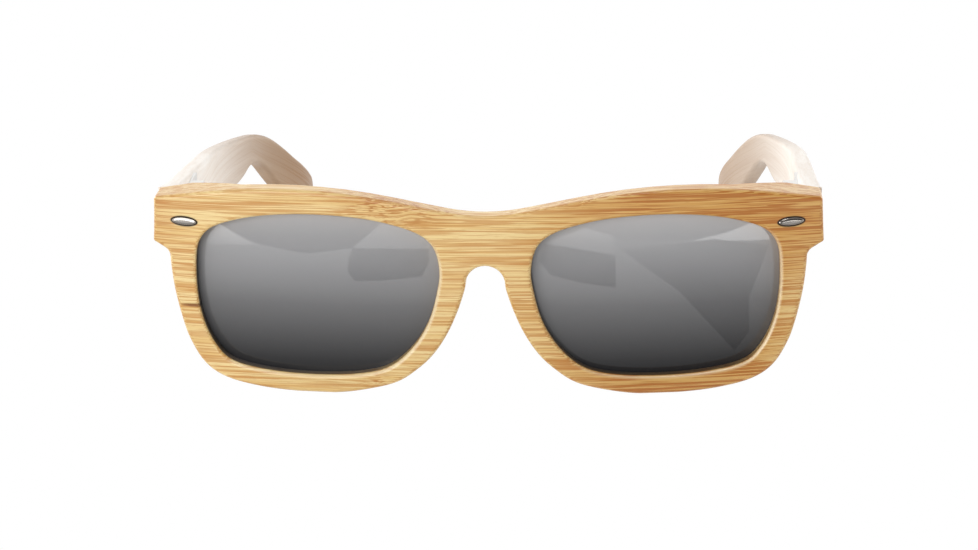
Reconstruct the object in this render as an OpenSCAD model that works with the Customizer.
// Sunglasses with a bent bamboo front, tinted lenses, bamboo temples and spring hinges.
// Millimetres. +X is the wearer's left, the lenses look towards -Y, +Z is up.
// The rims and the temple tips rest on the plane Z = 0.

/* [Lens openings] */
// Width of one lens opening
lens_w = 53.2; // [50:0.2:56]
// Height of one lens opening
lens_h = 35.7; // [33:0.1:38]
// Distance between the two openings, over the nose
bridge_w = 19.7; // [17:0.1:23]
// How far the edge of a lens runs into the rim
lens_lip = 0.8; // [0.5:0.05:1.2]
// Thickness of a lens
lens_t = 1.2; // [1:0.1:1.6]
// Radius of the front of a lens
lens_r = 175; // [150:5:260]
// Depth of the middle of a lens behind the front of the rim
lens_recess = 2; // [1.6:0.1:2.4]

/* [Front] */
// Thickness of the bent front
front_t = 5.4; // [4.8:0.1:6.5]
// Radius to which the front is bent
front_bend_r = 296; // [250:1:400]
// Width of the rim outside an opening
rim_side = 5.9; // [5:0.1:7]
// Height of the rim under an opening
rim_bottom = 4; // [3.4:0.1:5]
// Height of the brow over an opening
rim_top = 5.4; // [4.6:0.1:7]
// How far the top of the bridge dips below the brow
bridge_dip = 5.1; // [3.5:0.1:6]
// Radius of the arch over the nose
nose_r = 4.25; // [3.6:0.05:5]
// Height of the top of that arch
nose_top = 29; // [26:0.1:31]
// How far an end piece stands out past the rim
lug_out = 3.5; // [2.5:0.1:5]
// Height of an end piece at its outer face
lug_h = 9.8; // [9.6:0.1:12]
// How far the top of an end piece lies below the brow
lug_drop = 2.9; // [2:0.1:4]
// Distance from the front of the bridge back to the temple joint
joint_depth = 17.3; // [16:0.1:20]
// Width of the flat that eases the back edge of the nose gap
nose_ease = 2; // [1:0.1:2.8]

/* [Oval pins] */
// Length of a pin's oval head
pin_l = 5.8; // [4:0.1:7]
// Height of that oval
pin_h = 2.15; // [1.5:0.05:3]
// How deep a pin sits in the wood
pin_depth = 1.6; // [1:0.1:2.5]
// How far its dome stands out of the wood
pin_dome = 0.35; // [0.2:0.05:0.6]
// Distance of a pin from the outer face of the end piece
pin_in = 7.1; // [5:0.1:8.5]
// Tilt of a pin's long axis, down towards the nose
pin_tilt = 3; // [0:0.5:8]

/* [Temples] */
// Distance from the front of the bridge back to the end of the temples
temple_reach = 149.4; // [140:0.1:156]
// Thickness of a temple at its joint
temple_t = 4.4; // [4:0.1:5.4]
// Thickness of a temple at its tip
tip_t = 3.2; // [2.8:0.1:4.4]
// Height of a temple at its joint
temple_h = 11; // [10:0.1:12]
// Step from the outer face of the end piece in to the temple
temple_inset = 0.1; // [0:0.05:0.4]
// Gap between the end piece and the temple
joint_gap = 0.15; // [0.1:0.05:0.3]
// Straight length of a temple behind its joint
straight_l = 54.8; // [48:0.2:60]
// Radius to which a temple bends inwards behind that, on its outer face
bend_in_r = 112; // [100:1:160]
// Angle through which it bends inwards
bend_in = 24; // [16:0.5:25]
// Radius to which the tip bends back again
bend_back_r = 72; // [68:1:130]
// Angle through which the tip bends back
bend_back = 23; // [8:0.5:24]
// Length of the tip behind the ear bend
tip_run = 36.8; // [34:0.1:40]
// Height of the top corner of the ear bend
bend_top = 32.7; // [31:0.1:34]
// Height of the notch that rests on the ear
notch_z = 27.4; // [26:0.1:28]
// Height of the temple's lower edge just before that notch
heel_z = 22.4; // [21:0.1:24.5]
// Height of the back corner of the paddle at the end of the tip
paddle_h = 11.5; // [10:0.1:14]
// Length of the paddle's foot before its corners are rounded
paddle_l = 8.4; // [7:0.1:11]

/* [Hinges] */
// Distance from the inner face of the temple in to the pivot
pivot_in = 1.3; // [1.2:0.05:1.8]
// Distance from the end piece back to the pivot
pivot_back = 2.2; // [2.1:0.05:2.8]
// Outside radius of the knuckles and of the tongue's eye
knuckle_r = 1.5; // [1.4:0.05:1.6]
// Thickness of one knuckle
knuckle_t = 1.2; // [1:0.05:1.4]
// Thickness of the tongue's eye
tongue_t = 1.4; // [1.2:0.05:1.6]
// Radius of the pivot screw's shank
pivot_r = 0.7; // [0.6:0.05:0.8]
// Radius of the pivot screw's head
pivot_head_r = 1; // [0.9:0.05:1.1]
// Running clearance of the tongue on the pivot screw
run_gap = 0.06; // [0.03:0.01:0.08]
// Clearance round pieces that don't move on each other
fit_gap = 0.05; // [0.03:0.01:0.08]
// Width of the hinge leaf
leaf_w = 4.2; // [3.8:0.1:4.4]
// Height of the hinge leaf
leaf_h = 9.2; // [8.8:0.1:9.4]
// Thickness of the hinge leaf
leaf_t = 1; // [0.8:0.05:1.3]
// Distance of a leaf screw from the middle of the leaf
leaf_screw_z = 3.2; // [3.1:0.05:3.4]
// Radius of the wood screws' shanks
screw_r = 0.65; // [0.55:0.05:0.75]
// Radius of the wood screws' heads
screw_head_r = 1.1; // [1:0.05:1.15]
// Length of the screws in the end piece
leaf_screw_l = 4; // [3:0.1:5]
// Length of the screws in the temple
case_screw_l = 3; // [2.5:0.1:3.2]

/* [Spring cases] */
// Length of a spring case
case_l = 13; // [12:0.1:15]
// Width of a spring case, across the temple
case_w = 3.8; // [3.6:0.1:4]
// Height of a spring case
case_h = 4.4; // [4:0.1:5]
// Distance from the pivot back to the case
case_back = 2.3; // [2.2:0.1:2.8]
// Thickness of the case's front wall, which guides the rod
guide_t = 2; // [1.5:0.1:2.5]
// Radius of the spring chamber
chamber_r = 1.35; // [1.3:0.05:1.5]
// Thickness of the case's back wall
case_end_t = 1; // [0.8:0.1:1.5]
// Length of the tab behind the case
tab_l = 7.6; // [7:0.1:9]
// Thickness of that tab
tab_t = 1; // [0.9:0.1:1.3]
// Distance between the two screws in the tab
tab_screw_gap = 3.6; // [3:0.1:4.2]
// Radius of the tongue's rod
rod_r = 0.6; // [0.5:0.05:0.65]
// Length of the coil spring
spring_l = 6.9; // [6:0.1:7.5]
// Radius of the spring's wire
wire_r = 0.15; // [0.12:0.01:0.18]
// Radius of the spring to the middle of its wire
coil_r = 0.95; // [0.9:0.01:1]
// Number of turns of the spring
coil_turns = 8; // [6:1:10]
// Radius of the collar that holds the spring on the rod
collar_r = 1.2; // [1.15:0.05:1.25]
// Thickness of that collar
collar_t = 1; // [0.8:0.1:1.2]

/* [Hidden] */

$fn = 48;
wood = "burlywood";
steel = "silver";
left = 1;
right = -1;
arc_steps = 8;
curve_steps = 5;
plan_steps = 14;
bend_facets = 360;
past = 1;

// Steps round the end pieces and the blocks behind them
root_drop = 2.2;
block_margin = 1.1;
block_drop = 1.3;
brow_fade = 11;
fade_z = 1.2;

// Heights and widths of the front
open_top = rim_bottom + lens_h;
brow_z = open_top + rim_top;
lug_top = brow_z - lug_drop;
lug_bottom = lug_top - lug_h;
rim_x = bridge_w / 2 + lens_w + rim_side;
half_w = rim_x + lug_out;
nose_mid = nose_top - nose_r;
lug_root = lug_bottom - root_drop;
lug_slant = 0.4;
pin_drop = 0.15;
valley_slope = 0.19;
brow_slope = 0.15;
valley_bend = 43;
brow_bend = 124;
lug_corner = 0.8;
root_bend = 2.2;

// Radii of the corners in the side view of a temple, from the ear bend round the tip
bend_top_r = 24;
tip_back_r = 50;
paddle_back_r = 6.5;
paddle_foot_r = 5.5;
paddle_front_r = 9;
neck_r = 25;
notch_r = 7.5;
heel_r = 40;
belly_r = 200;
// Places of the corners beside the notch
belly_y = 42;
belly_sag = 0.9;
heel_y = 14.6;
notch_y = 4;
foot_y = 3.6;

// Shape of an opening as fractions of its box, from the top round by the outer side
OPENING = [
  [0.539, 1], [0.699, 0.985], [0.831, 0.948], [0.935, 0.889], [0.987, 0.793], [1, 0.644],
  [0.996, 0.462], [0.974, 0.303], [0.928, 0.16], [0.857, 0.062], [0.708, 0.015], [0.511, 0],
  [0.323, 0.017], [0.202, 0.07], [0.108, 0.196], [0.044, 0.356], [0.009, 0.543], [0, 0.678],
  [0.025, 0.815], [0.097, 0.902], [0.238, 0.964], [0.379, 0.992]
];
// Outside of a rim: fractions of the width from the nose arch to the rim's outer side,
// and of the height of the end piece's root
RIM_OUTER = [
  [0.998, 0.914], [0.988, 0.728], [0.967, 0.523], [0.94, 0.348], [0.89, 0.176],
  [0.816, 0.076], [0.7, 0.022], [0.572, 0], [0.445, 0]
];
// The nose side of a rim, with heights as fractions of the arch's middle
RIM_NOSE = [
  [0.336, 0.04], [0.234, 0.113], [0.162, 0.238], [0.107, 0.38], [0.061, 0.566],
  [0.027, 0.764], [0.005, 0.937]
];

// Places of the hinge, seen on the wearer's left
temple_x = half_w - temple_inset;
inner_x = temple_x - temple_t;
pivot_x = inner_x - pivot_in;
pivot_y = joint_depth + pivot_back;
hinge_z = (lug_top + lug_bottom) / 2;
knuckle_gap = tongue_t + 2 * fit_gap;
knuckle_top = knuckle_gap / 2 + knuckle_t;
block_x = pivot_x - leaf_w / 2 - block_margin;
block_z = lug_bottom - block_drop;
case_y = pivot_y + case_back;
chamber_y = case_y + guide_t;
case_out_x = pivot_x + case_w / 2;
pocket_x = case_out_x + fit_gap;
tab_y = case_y + case_l;
tab_screw_y = tab_y + tab_l / 2;
spring_y = chamber_y + fit_gap;
collar_y = spring_y + spring_l + fit_gap;
head_h = 0.5;
slot_w = 0.3;
slot_d = 0.2;

// Side view of a temple
temple_y = joint_depth + joint_gap;
temple_top = lug_top;
tip_y = 2 * temple_reach - max([for (p = temple_outline(temple_reach)) p.x]);

function unit(v) = v / norm(v);
function turn(v) = [-v.y, v.x];
function flat(p) = [p[0], p[1]];

// Points of the arc that rounds the corner at p between its neighbours a and b,
// which takes no more than a share of either side
function corner(a, p, b, r, share = 0.49) =
  let(
    u = unit(a - p),
    w = unit(b - p),
    half = acos(u * w) / 2,
    reach = min(r / tan(half), share * min(norm(a - p), norm(b - p))),
    bow = reach * tan(half),
    mid = p + unit(u + w) * bow / sin(half),
    from = p + u * reach - mid,
    to = p + w * reach - mid,
    start = atan2(from.y, from.x),
    sweep = (atan2(to.y, to.x) - start + 540) % 360 - 180
  )
  [for (i = [0 : arc_steps]) let(a = start + sweep * i / arc_steps) mid + bow * [cos(a), sin(a)]];

// A closed path of corners [x, y, radius] as points
function rounded(path) =
  let(n = len(path))
  [for (i = [0 : n - 1])
    each path[i][2] == 0
      ? [flat(path[i])]
      : corner(flat(path[(i + n - 1) % n]), flat(path[i]), flat(path[(i + 1) % n]), path[i][2])];

// A point on the smooth curve from b to c, with a and d as its neighbours
function between(a, b, c, d, t) =
  (2 * b + (c - a) * t + (2 * a - 5 * b + 4 * c - d) * t * t + (3 * b - a - 3 * c + d) * t * t * t) / 2;

function closed_curve(p) =
  let(n = len(p))
  [for (i = [0 : n - 1], k = [0 : curve_steps - 1])
    between(p[(i + n - 1) % n], p[i], p[(i + 1) % n], p[(i + 2) % n], k / curve_steps)];

// A smooth curve from the second point to the last but one
function open_curve(p) =
  [for (i = [1 : len(p) - 3], k = [0 : curve_steps - 1])
    between(p[i - 1], p[i], p[i + 1], p[i + 2], k / curve_steps)];

// A clockwise closed outline moved outwards
function pushed(p, d) =
  let(n = len(p))
  [for (i = [0 : n - 1]) p[i] + turn(unit(p[(i + 1) % n] - p[(i + n - 1) % n])) * d];

function opening_points() =
  closed_curve([for (f = OPENING) [bridge_w / 2 + f.x * lens_w, rim_bottom + f.y * lens_h]]);

// The right half of the front's outline, from the top of the bridge to the nose arch
function half_outline() =
  let(
    valley = [0, brow_z - bridge_dip - valley_bend * (1 / cos(atan(valley_slope)) - 1)],
    lug_corner_top = [half_w - lug_slant, lug_top],
    brow_x = (lug_top + brow_slope * (half_w - lug_slant) - valley.y) / (valley_slope + brow_slope),
    brow = [brow_x, valley.y + valley_slope * brow_x],
    lug_corner_low = [half_w, lug_bottom],
    root = [rim_x, lug_root],
    rim = concat(
      [root],
      [for (f = RIM_OUTER) [nose_r + f.x * (rim_x - nose_r), f.y * lug_root]],
      [for (f = RIM_NOSE) [nose_r + f.x * (rim_x - nose_r), f.y * nose_mid]],
      [[nose_r, nose_mid], [nose_r, nose_mid + 1]]
    )
  )
  concat(
    [for (q = corner([-brow.x, brow.y], valley, brow, valley_bend)) if (q.x > 0.01) q],
    corner(valley, brow, lug_corner_top, brow_bend, 0.9),
    corner(brow, lug_corner_top, lug_corner_low, lug_corner),
    corner(lug_corner_top, lug_corner_low, root, lug_corner * 0.7),
    corner(lug_corner_low, root, rim[1], root_bend),
    open_curve(rim),
    [for (i = [0 : arc_steps - 1]) let(a = 90 * i / arc_steps) [nose_r * cos(a), nose_mid + nose_r * sin(a)]]
  );

function mirrored(p) = [for (i = [len(p) - 1 : -1 : 0]) [-p[i].x, p[i].y]];

function front_outline() =
  let(h = half_outline())
  concat([[0, brow_z - bridge_dip]], h, [[0, nose_top]], mirrored(h));

// Outline of a temple seen from its side, with its tip drawn about the length end_y
function temple_outline(end_y) =
  let(bend_y = end_y - tip_run)
  rounded([
    [temple_y, temple_top, 0],
    [bend_y, bend_top, bend_top_r],
    [bend_y + 0.435 * tip_run, 0.69 * bend_top, tip_back_r],
    [end_y + 0.027 * tip_run, paddle_h, paddle_back_r],
    [end_y - foot_y, 0, paddle_foot_r],
    [end_y - foot_y - paddle_l, 0, paddle_front_r],
    [bend_y + 0.273 * tip_run, 0.407 * bend_top, neck_r],
    [bend_y - notch_y, notch_z, notch_r],
    [bend_y - heel_y, heel_z, heel_r],
    [temple_y + belly_y, 0.45 * (temple_top - temple_h) + 0.55 * heel_z + belly_sag, belly_r],
    [temple_y, temple_top - temple_h, 0]
  ]);

// Outer face of a temple seen from above, as [x, y, turn inwards] from its joint to its end
function temple_run() =
  let(
    y_in = temple_y + straight_l,
    x_in = temple_x - bend_in_r,
    x_back = x_in + (bend_in_r + bend_back_r) * cos(bend_in),
    y_back = y_in + (bend_in_r + bend_back_r) * sin(bend_in),
    turn_end = bend_in - bend_back,
    last = [x_back - bend_back_r * cos(turn_end), y_back - bend_back_r * sin(turn_end)]
  )
  concat(
    [[temple_x, temple_y, 0]],
    [for (i = [0 : plan_steps]) let(a = bend_in * i / plan_steps)
      [x_in + bend_in_r * cos(a), y_in + bend_in_r * sin(a), a]],
    [for (i = [1 : plan_steps]) let(a = bend_in - bend_back * i / plan_steps)
      [x_back - bend_back_r * cos(a), y_back - bend_back_r * sin(a), a]],
    [[last.x - 20 * sin(turn_end), last.y + 20 * cos(turn_end), turn_end]]
  );

// Thickness of a temple at a distance y behind the front of the bridge
function temple_depth(y) =
  let(from = temple_y + straight_l - 10, share = (y - from) / (temple_reach - tip_run - from))
  temple_t + (tip_t - temple_t) * min(1, max(0, share));

// The whole model stands with the middle of its box over the origin
module placed(side) {
  translate([0, -temple_reach / 2, 0])
    scale_side(side)
      children();
}

// The wearer's right is the mirror image of the left
module scale_side(side) {
  if (side == left)
    children();
  else
    mirror([1, 0, 0])
      children();
}

// An outline drawn in X and Z, made solid along Y
module slab(points, y_from, y_to) {
  translate([0, y_to, 0])
    rotate([90, 0, 0])
      linear_extrude(y_to - y_from)
        polygon(points);
}

// A round solid along Y
module rod_y(r, y_from, y_to, r_end = 0) {
  translate([pivot_x, y_from, hinge_z])
    rotate([-90, 0, 0])
      cylinder(h = y_to - y_from, r1 = r, r2 = r_end == 0 ? r : r_end);
}

// A round solid on the pivot's axis
module rod_z(r, z_from, z_to) {
  translate([pivot_x, pivot_y, hinge_z + z_from])
    cylinder(h = z_to - z_from, r = r);
}

// A solid as high as the front whose wall follows the bend, depth behind its face
module bent(depth) {
  translate([0, front_bend_r, -past])
    cylinder(h = brow_z + 2 * past, r = front_bend_r - depth, $fn = bend_facets);
}

// The ball whose surface is the front of a lens, grown by a clearance
module lens_ball(grow) {
  tilt = asin((bridge_w + lens_w) / 2 / front_bend_r);
  out = front_bend_r - lens_recess - lens_r;
  translate([out * sin(tilt), front_bend_r - out * cos(tilt), rim_bottom + lens_h / 2])
    sphere(r = lens_r + grow, $fn = bend_facets / 2);
}

// A lens blank: a shell of the ball inside an outline larger than the opening
module lens_blank(outline_grow, gap) {
  intersection() {
    slab(pushed(opening_points(), outline_grow), -past, joint_depth);
    difference() {
      lens_ball(gap);
      lens_ball(-lens_t - gap);
    }
  }
}

// The oval of a pin's head
module oval(grow, depth) {
  linear_extrude(depth)
    polygon([for (i = [0 : 35]) [(pin_l / 2 + grow) * cos(10 * i), (pin_h / 2 + grow) * sin(10 * i)]]);
}

// Puts a piece on the bent face at the pin's place, with Z pointing out of the wood
module at_pin() {
  pin_x = half_w - pin_in;
  lean = asin(pin_x / front_bend_r);
  translate([pin_x, front_bend_r - front_bend_r * cos(lean), hinge_z - pin_drop])
    rotate([0, 0, lean])
      rotate([90, 0, 0])
        rotate([0, 0, pin_tilt])
          children();
}

// A countersunk wood screw with its head's face at Z = 0, pointing down
module wood_screw(l, grow, slotted) {
  difference() {
    union() {
      translate([0, 0, -head_h])
        cylinder(h = head_h, r1 = screw_r + grow, r2 = screw_head_r + grow);
      translate([0, 0, -l])
        cylinder(h = l - head_h, r = screw_r + grow);
    }
    if (slotted)
      translate([-slot_w / 2, -screw_head_r - past, -slot_d])
        cube([slot_w, 2 * (screw_head_r + past), slot_d + past]);
  }
}

// The two screws that hold the leaf to the end piece
module leaf_screws(grow, slotted) {
  for (z = [-leaf_screw_z, leaf_screw_z])
    translate([pivot_x, joint_depth, hinge_z + z])
      rotate([-90, 0, 0])
        wood_screw(leaf_screw_l + grow, grow, slotted);
}

// The two screws that hold the spring case to the temple
module tab_screws(grow, slotted) {
  for (y = [-tab_screw_gap / 2, tab_screw_gap / 2])
    translate([case_out_x - tab_t, tab_screw_y + y, hinge_z])
      rotate([0, -90, 0])
        wood_screw(case_screw_l + grow, grow, slotted);
}

// The flat that eases the back edge on one side of the nose gap
module nose_flat() {
  lean = 26;
  foot = [nose_r + 0.075 * (rim_x - nose_r), 0.5 * nose_mid];
  cut = 1.3 * nose_ease;
  over = 2 * nose_ease;
  translate([foot.x, front_t, foot.y])
    rotate([0, -lean, 0])
      translate([0, 0, -nose_mid])
        linear_extrude(2 * nose_mid)
          polygon([[-over, -cut], [0, -cut], [1.5 * nose_ease, past], [-over, past]]);
}

// Where the back of the plain front lies at x
function back_y(x) = front_bend_r - sqrt((front_bend_r - front_t) ^ 2 - x * x);

// The block behind an end piece, with the part of the brow that fades into it
module end_block() {
  fade_x = block_x - brow_fade;
  translate([block_x, 0, block_z])
    cube([half_w, joint_depth + past, brow_z]);
  translate([0, 0, open_top + fade_z])
    linear_extrude(brow_z)
      polygon([
        [fade_x, back_y(fade_x) - past], [fade_x, back_y(fade_x)], [block_x, joint_depth],
        [block_x + past, joint_depth], [block_x + past, back_y(fade_x) - past]
      ]);
}

module front_frame() {
  color(wood)
    placed(left)
      difference() {
        intersection() {
          slab(front_outline(), -past, joint_depth);
          translate([-half_w - past, -past, 0])
            cube([2 * (half_w + past), joint_depth + past, brow_z + past]);
          difference() {
            bent(0);
            difference() {
              bent(front_t);
              for (side = [left, right])
                scale_side(side)
                  end_block();
            }
          }
        }
        for (side = [left, right])
          scale_side(side) {
            slab(opening_points(), -past, joint_depth + past);
            lens_blank(lens_lip + fit_gap, fit_gap);
            nose_flat();
            leaf_plate(fit_gap);
            leaf_screws(0.02, false);
            at_pin()
              translate([0, 0, -pin_depth])
                oval(fit_gap, pin_depth + pin_dome + past);
          }
      }
}

module lens(side) {
  color("dimgray", 0.85)
    placed(side)
      lens_blank(lens_lip, 0);
}

module front_pin(side) {
  color(steel)
    placed(side)
      at_pin()
        intersection() {
          translate([0, 0, -pin_depth])
            oval(0, pin_depth + pin_dome);
          translate([0, 0, pin_dome - 4 * pin_l])
            sphere(r = 4 * pin_l, $fn = bend_facets);
        }
}

// The flat plate of the hinge leaf, let into the back of the end piece
module leaf_plate(grow) {
  translate([pivot_x - leaf_w / 2 - grow, joint_depth - leaf_t, hinge_z - leaf_h / 2 - grow])
    cube([leaf_w + 2 * grow, leaf_t + (grow > 0 ? past : 0), leaf_h + 2 * grow]);
}

module front_leaf(side) {
  color(steel)
    placed(side)
      difference() {
        union() {
          leaf_plate(0);
          for (z = [-knuckle_top, knuckle_gap / 2]) {
            rod_z(knuckle_r, z, z + knuckle_t);
            translate([pivot_x - knuckle_r, joint_depth - leaf_t / 2, hinge_z + z])
              cube([2 * knuckle_r, pivot_back + leaf_t / 2, knuckle_t]);
          }
        }
        rod_z(pivot_r + 0.02, -leaf_h, leaf_h);
        leaf_screws(0.02, false);
      }
}

module front_leaf_screws(side) {
  color(steel)
    placed(side)
      leaf_screws(0, true);
}

module pivot_screw(side) {
  color(steel)
    placed(side)
      difference() {
        union() {
          rod_z(pivot_r, -knuckle_top - 0.2, knuckle_top);
          rod_z(pivot_head_r, knuckle_top, knuckle_top + head_h);
        }
        translate([pivot_x - slot_w / 2, pivot_y - 2, hinge_z + knuckle_top + head_h - slot_d])
          cube([slot_w, 4, 1]);
      }
}

module hinge_tongue(side) {
  color(steel)
    placed(side)
      difference() {
        union() {
          rod_z(knuckle_r, -tongue_t / 2, tongue_t / 2);
          translate([pivot_x - 1, pivot_y, hinge_z - tongue_t / 2])
            cube([2, case_back - 0.1, tongue_t]);
          rod_y(rod_r, pivot_y + case_back - 0.1, collar_y + collar_t + 0.2);
        }
        rod_z(pivot_r + run_gap, -tongue_t, tongue_t);
      }
}

// The spring is one tube swept along a helix round the rod
module hinge_spring(side) {
  sides = 6;
  rings = 12;
  turns = coil_turns;
  run = spring_l - 2 * wire_r;
  n = turns * rings;
  points = [for (i = [0 : n], k = [0 : sides - 1])
    let(
      a = 360 * i / rings,
      b = 360 * k / sides,
      r = coil_r + wire_r * cos(b)
    )
    [r * cos(a), wire_r + run * i / n + wire_r * sin(b), r * sin(a)]];
  walls = [for (i = [0 : n - 1], k = [0 : sides - 1])
    let(j = (k + 1) % sides, p = i * sides, q = p + sides)
    each [[p + k, p + j, q + k], [p + j, q + j, q + k]]];
  caps = [for (k = [1 : sides - 2]) each [[0, k + 1, k], [n * sides, n * sides + k, n * sides + k + 1]]];
  color(steel)
    placed(side)
      translate([pivot_x, spring_y, hinge_z])
        polyhedron(points, concat(walls, caps));
}

module spring_collar(side) {
  color(steel)
    placed(side)
      difference() {
        rod_y(collar_r, collar_y, collar_y + collar_t);
        rod_y(rod_r + 0.02, collar_y - past, collar_y + collar_t + past);
      }
}

module spring_case(side) {
  color(steel)
    placed(side)
      difference() {
        union() {
          translate([pivot_x - case_w / 2, case_y, hinge_z - case_h / 2])
            cube([case_w, case_l, case_h]);
          translate([case_out_x - tab_t, tab_y - past, hinge_z - case_h / 2])
            cube([tab_t, tab_l + past, case_h]);
        }
        rod_y(rod_r + run_gap, case_y - past, chamber_y + past);
        rod_y(chamber_r, chamber_y, tab_y - case_end_t);
        tab_screws(0.02, false);
      }
}

module case_screws(side) {
  color(steel)
    placed(side)
      tab_screws(0, true);
}

// Plan of a temple: straight behind the joint, then bent inwards and back
module temple_plan() {
  outer = temple_run();
  inner = [for (i = [len(outer) - 1 : -1 : 0])
    let(p = outer[i], d = temple_depth(p.y)) [p.x - d * cos(p.z), p.y - d * sin(p.z)]];
  translate([0, 0, -past])
    linear_extrude(temple_top + 2 * past)
      polygon(concat([for (p = outer) flat(p)], inner));
}

module temple(side) {
  color(wood)
    placed(side)
      difference() {
        intersection() {
          temple_plan();
          rotate([90, 0, 90])
            linear_extrude(half_w + past)
              polygon(temple_outline(tip_y));
        }
        translate([inner_x - past, temple_y - past, hinge_z - case_h / 2 - fit_gap])
          cube([pocket_x - inner_x + past, tab_y + tab_l - temple_y + past + fit_gap, case_h + 2 * fit_gap]);
        tab_screws(0.02, false);
      }
}

front_frame();
lens(left);  // lens_left
lens(right);  // lens_right
front_pin(left);  // front_pin_left
front_pin(right);  // front_pin_right
front_leaf(left);  // front_leaf_left
front_leaf(right);  // front_leaf_right
front_leaf_screws(left);  // front_leaf_screws_left
front_leaf_screws(right);  // front_leaf_screws_right
pivot_screw(left);  // pivot_screw_left
pivot_screw(right);  // pivot_screw_right
hinge_tongue(left);  // hinge_tongue_left
hinge_tongue(right);  // hinge_tongue_right
hinge_spring(left);  // hinge_spring_left
hinge_spring(right);  // hinge_spring_right
spring_collar(left);  // spring_collar_left
spring_collar(right);  // spring_collar_right
temple(left);  // temple_left
temple(right);  // temple_right
spring_case(left);  // spring_case_left
spring_case(right);  // spring_case_right
case_screws(left);  // case_screws_left
case_screws(right);  // case_screws_right
